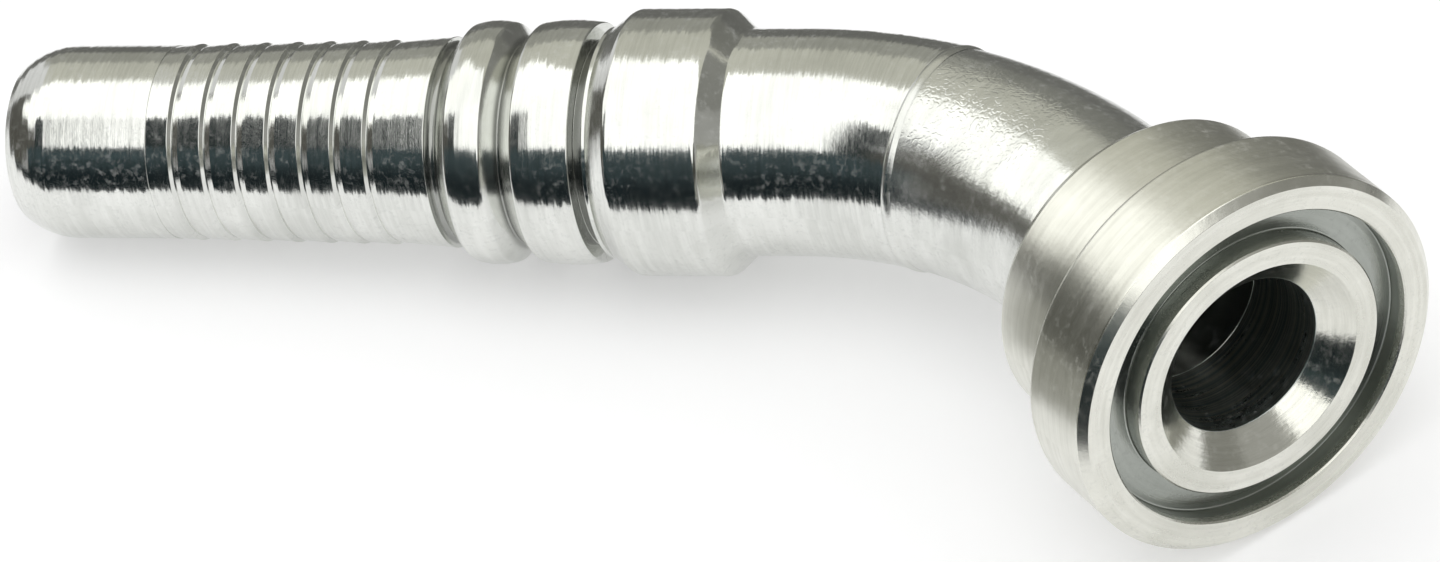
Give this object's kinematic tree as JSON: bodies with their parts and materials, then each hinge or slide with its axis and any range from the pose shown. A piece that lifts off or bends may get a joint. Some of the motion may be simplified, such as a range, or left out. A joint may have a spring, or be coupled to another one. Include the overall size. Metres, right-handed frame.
{
  "type": "bent flange hose fitting",
  "caption": "Bent hose fitting: serrated interlock hose insert with locking ribs and collar, welded bent tube, and a flanged head with O-ring groove, countersink and through bore.",
  "frame": {"origin": "centre of the bore at the nose end of the hose insert", "axes": "+X along the insert from its nose to the bend; the bend lies in the XY plane and turns towards -Y, so the flange looks along (+X, -Y); +Z is square to the bend"},
  "size_m": [0.1761, 0.0703, 0.0476],
  "materials": {
    "turned_zinc": "turned, bright zinc plate",
    "bent_tube_zinc": "drawn tube, bright zinc plate",
    "flange_zinc": "turned, satin zinc plate",
    "weld_zinc": "plated weld bead",
    "braze_zinc": "plated braze fillet"
  },
  "bodies": {
    "root": {"hose_insert": "turned_zinc", "elbow_tube": "bent_tube_zinc", "flange_head": "flange_zinc", "seam_weld_ring": "weld_zinc", "neck_braze_ring": "braze_zinc"}
  },
  "joints": []
}
